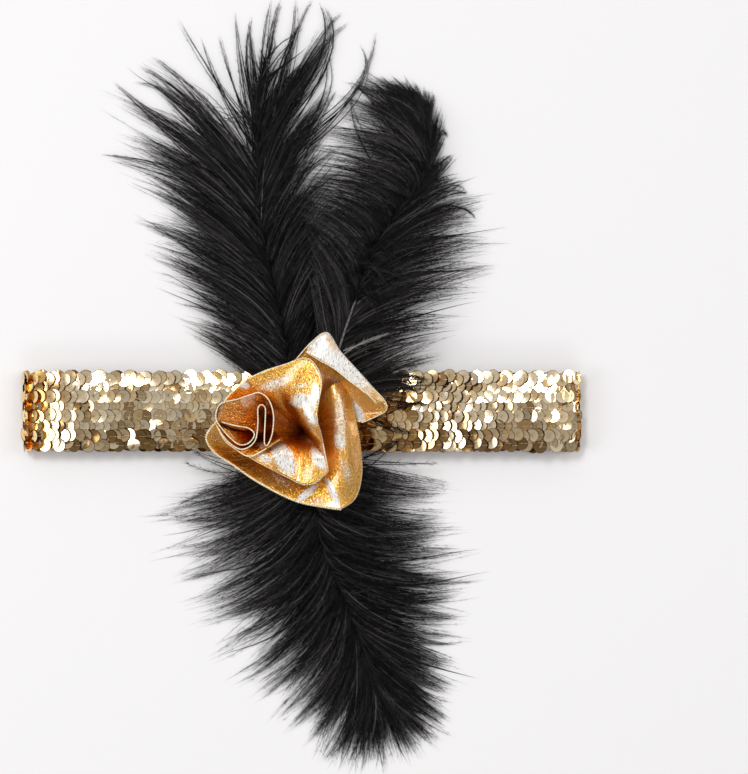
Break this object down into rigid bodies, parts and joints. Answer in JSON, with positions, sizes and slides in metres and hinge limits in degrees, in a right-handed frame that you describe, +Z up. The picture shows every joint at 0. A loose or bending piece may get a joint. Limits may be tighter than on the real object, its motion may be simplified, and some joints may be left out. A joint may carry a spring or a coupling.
{
  "type": "feather headband",
  "caption": "Flapper headband lying flat: a loop of stretch sequin trim with a folded metallic ribbon rose and dark ostrich plumes.",
  "frame": {"origin": "middle of the flat underside of the band, on the surface that it lies on", "axes": "+X along the band, to the right in the picture; +Y across the band towards the two upper plumes; +Z up, out of the rose"},
  "size_m": [0.223, 0.3052, 0.039],
  "materials": {
    "sequin_trim": "shiny cupped sequins on stretch knit",
    "gold_lame": "crinkled metallic lame",
    "dark_feather": "soft ostrich barbs"
  },
  "bodies": {
    "root": {"band_loop": "sequin_trim", "ribbon_rose": "gold_lame", "plume_left": "dark_feather", "plume_right": "dark_feather", "plume_lower": "dark_feather"}
  },
  "joints": []
}
